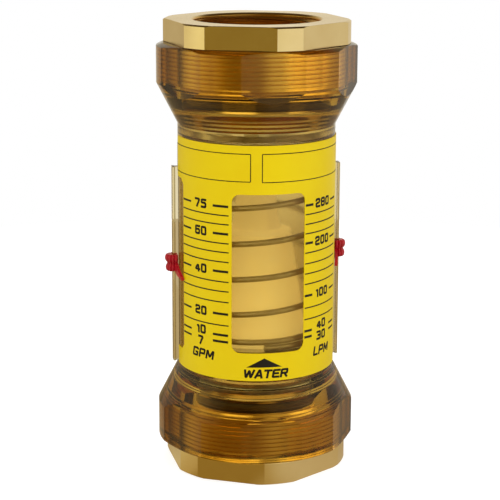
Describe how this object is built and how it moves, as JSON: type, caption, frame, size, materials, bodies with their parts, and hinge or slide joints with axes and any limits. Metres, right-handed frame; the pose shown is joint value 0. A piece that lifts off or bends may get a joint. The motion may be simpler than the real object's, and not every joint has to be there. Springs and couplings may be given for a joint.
{
  "type": "rotameter",
  "caption": "In-line spring-loaded variable-area flow meter: clear hexagonal-ended tube, brass threaded ends, wrapped scale with a window, sliding pointers.",
  "frame": {"origin": "centre of the lower port's face, on the flow axis", "axes": "+Z along the flow, upwards; the window faces -Y"},
  "size_m": [0.074, 0.0704, 0.168],
  "materials": {
    "clear_body": "clear amber moulded polysulfone",
    "cone": "clear moulded polysulfone, frosted core",
    "end_fittings": "turned and milled brass",
    "insert": "turned brass",
    "seals": "black nitrile rubber",
    "label": "printed yellow vinyl film",
    "spiders": "stainless sheet, cut and tumbled",
    "fasteners": "stainless",
    "retaining_rings": "stainless spring steel",
    "float": "turned stainless",
    "spring": "drawn stainless wire",
    "pointers": "moulded red plastic"
  },
  "bodies": {
    "housing": {"clear_body": "clear_body", "lower_end_fitting": "end_fittings", "upper_end_fitting": "end_fittings", "lower_o_ring": "seals", "upper_o_ring": "seals", "scale_label": "label", "metering_cone": "cone", "cone_insert": "insert", "lower_spider": "spiders", "cone_bolt": "fasteners", "bolt_lock_washer": "fasteners", "lower_retaining_ring": "retaining_rings", "upper_spider": "spiders", "tip_screw": "fasteners", "tip_lock_washer": "fasteners", "upper_retaining_ring": "retaining_rings", "spring": "spring"},
    "float": {"float_disc": "float"},
    "left_pointer": {"left_pointer": "pointers"},
    "right_pointer": {"right_pointer": "pointers"}
  },
  "joints": [
    {"name": "float_travel", "type": "slide", "parent": "housing", "child": "float", "axis": [0, 0, 1], "range_m": [0, 0.055], "stiffness_N_per_m": 500, "springref_m": -0.01, "deforming": ["spring"]},
    {"name": "left_pointer_slide", "type": "slide", "parent": "housing", "child": "left_pointer", "axis": [0, 0, 1], "range_m": [-0.02, 0.0305]},
    {"name": "right_pointer_slide", "type": "slide", "parent": "housing", "child": "right_pointer", "axis": [0, 0, 1], "range_m": [-0.0234, 0.0271]}
  ]
}
